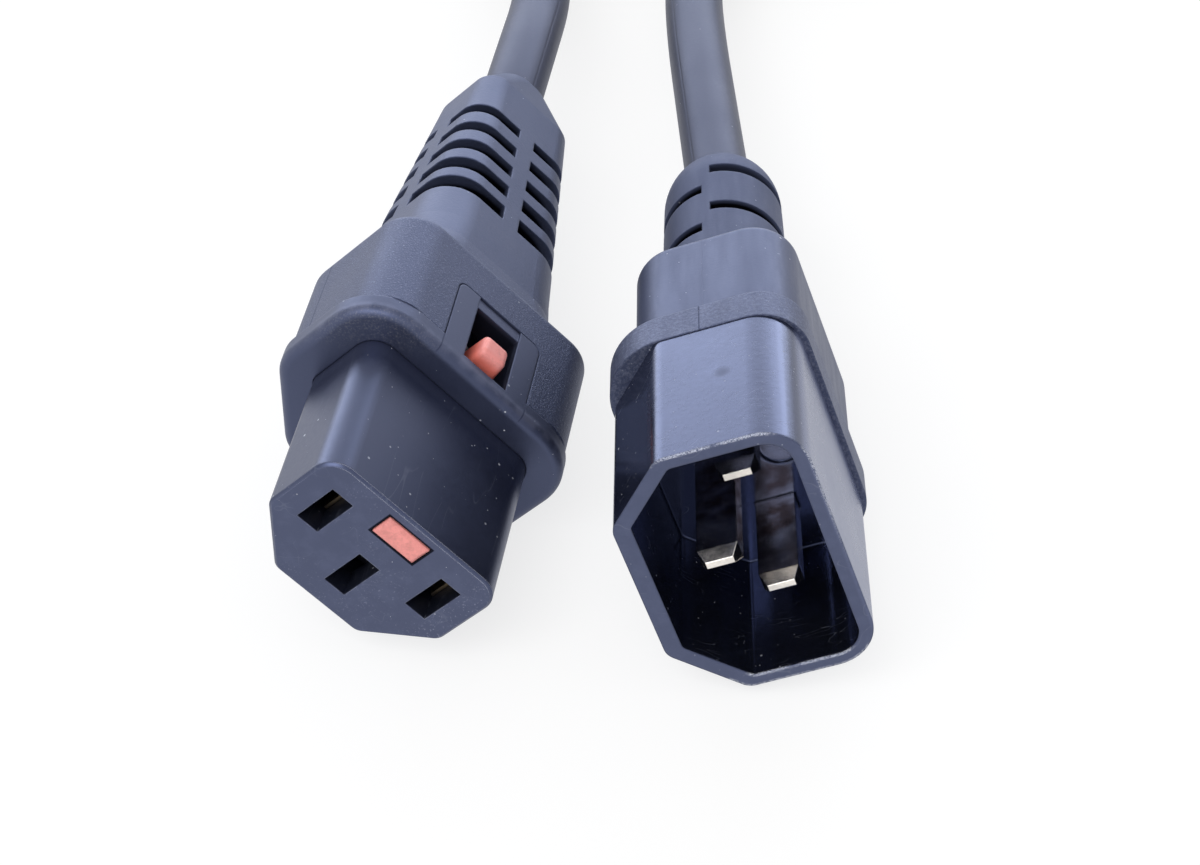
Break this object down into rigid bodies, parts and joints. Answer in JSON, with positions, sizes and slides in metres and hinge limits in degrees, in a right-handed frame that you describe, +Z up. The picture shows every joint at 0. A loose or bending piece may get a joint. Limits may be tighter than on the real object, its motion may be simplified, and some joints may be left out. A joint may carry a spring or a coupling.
{
  "type": "power cord",
  "caption": "Appliance power cord with a locking socket connector at one end and a pin connector at the other, its cable coiled and tied behind them.",
  "frame": {"origin": "on the table, under the centre of the two connectors' box", "axes": "+Z up from the table, +Y along the socket connector from its face to its cable, +X from the socket toward the plug"},
  "size_m": [0.0876, 0.2345, 0.0317],
  "materials": {
    "nose_plastic": "satin charcoal moulding, light scuffs and dust",
    "lip_plastic": "smooth satin charcoal moulding",
    "grip_plastic": "fine sandblasted charcoal overmould",
    "red_plastic": "coral red moulding",
    "spring_steel": "drawn spring wire",
    "plate_steel": "stamped plate",
    "contact_brass": "stamped and formed brass",
    "pin_plating": "bright nickel plating",
    "shell_plastic": "smooth charcoal moulding, scratched, rim worn",
    "boot_plastic": "satin charcoal overmould",
    "cable_sheath": "satin charcoal sheath",
    "brown_core": "brown insulation",
    "blue_core": "blue insulation",
    "green_core": "green and yellow insulation",
    "strap_cloth": "woven strap"
  },
  "bodies": {
    "cord": {"c13_nose": "nose_plastic", "c13_lock_housing": "lip_plastic", "c13_shroud": "grip_plastic", "c13_return_spring": "spring_steel", "c13_line_contact": "contact_brass", "c13_neutral_contact": "contact_brass", "c13_earth_contact": "contact_brass", "c13_line_core": "brown_core", "c13_neutral_core": "blue_core", "c13_earth_core": "green_core", "c14_shell": "shell_plastic", "c14_overmould": "boot_plastic", "c14_line_pin": "pin_plating", "c14_neutral_pin": "pin_plating", "c14_earth_pin": "pin_plating", "c14_line_core": "brown_core", "c14_neutral_core": "blue_core", "c14_earth_core": "green_core", "cord_c13_run": "cable_sheath", "cord_c14_run": "cable_sheath", "cord_coil": "cable_sheath", "cord_tie": "strap_cloth"},
    "slider": {"c13_release_slider": "red_plastic"},
    "plate": {"c13_locking_plate": "plate_steel"}
  },
  "joints": [
    {"name": "release_slide", "type": "slide", "parent": "cord", "child": "slider", "axis": [0, 1, 0], "range_m": [0, 0.0025], "stiffness_N_per_m": 250, "springref_m": -0.002, "deforming": ["c13_return_spring"]},
    {"name": "plate_tilt", "type": "hinge", "parent": "cord", "child": "plate", "pos_m": [-0.02169, -0.03368, 0.00877], "axis": [-0.7071, 0, 0.7071], "range_deg": [0, 15.2]}
  ],
  "couplings": [
    {"joint": "plate_tilt", "follows": "release_slide", "rad_per_m": 104.7}
  ]
}
